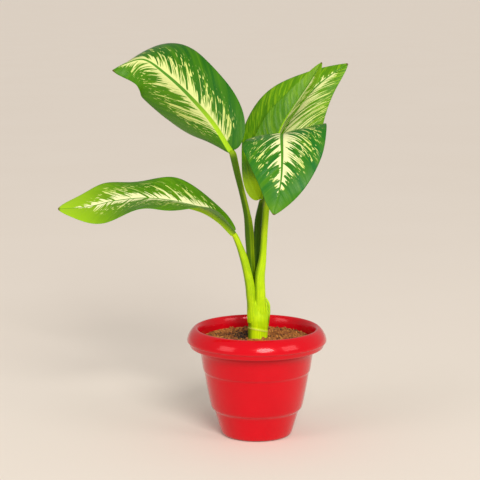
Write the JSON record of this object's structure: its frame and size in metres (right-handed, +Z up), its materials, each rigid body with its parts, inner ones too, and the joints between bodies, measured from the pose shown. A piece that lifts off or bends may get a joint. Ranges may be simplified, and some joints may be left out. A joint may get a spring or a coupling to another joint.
{
  "type": "potted dieffenbachia",
  "caption": "Young dieffenbachia with broad green, cream-marked leaves on lime petioles, growing from a short cane in a round red plastic pot of coir potting mix.",
  "frame": {"origin": "centre of the pot's flat foot, where it stands", "axes": "+Z up, -Y towards the front that the picture shows, +X to the right of it"},
  "size_m": [0.3076, 0.1691, 0.417],
  "materials": {
    "pot_red": "gloss",
    "coir": "matte",
    "cane_green": "satin",
    "petiole_green": "satin",
    "blade_green": "satin"
  },
  "bodies": {
    "root": {"pot": "pot_red", "soil": "coir", "cane": "cane_green", "petiole_upper_left": "petiole_green", "petiole_lower_left": "petiole_green", "petiole_back_right": "petiole_green", "petiole_front_right": "petiole_green", "petiole_inner": "petiole_green", "blade_upper_left": "blade_green", "blade_lower_left": "blade_green", "blade_back_right": "blade_green", "blade_front_right": "blade_green", "blade_inner": "blade_green"}
  },
  "joints": []
}
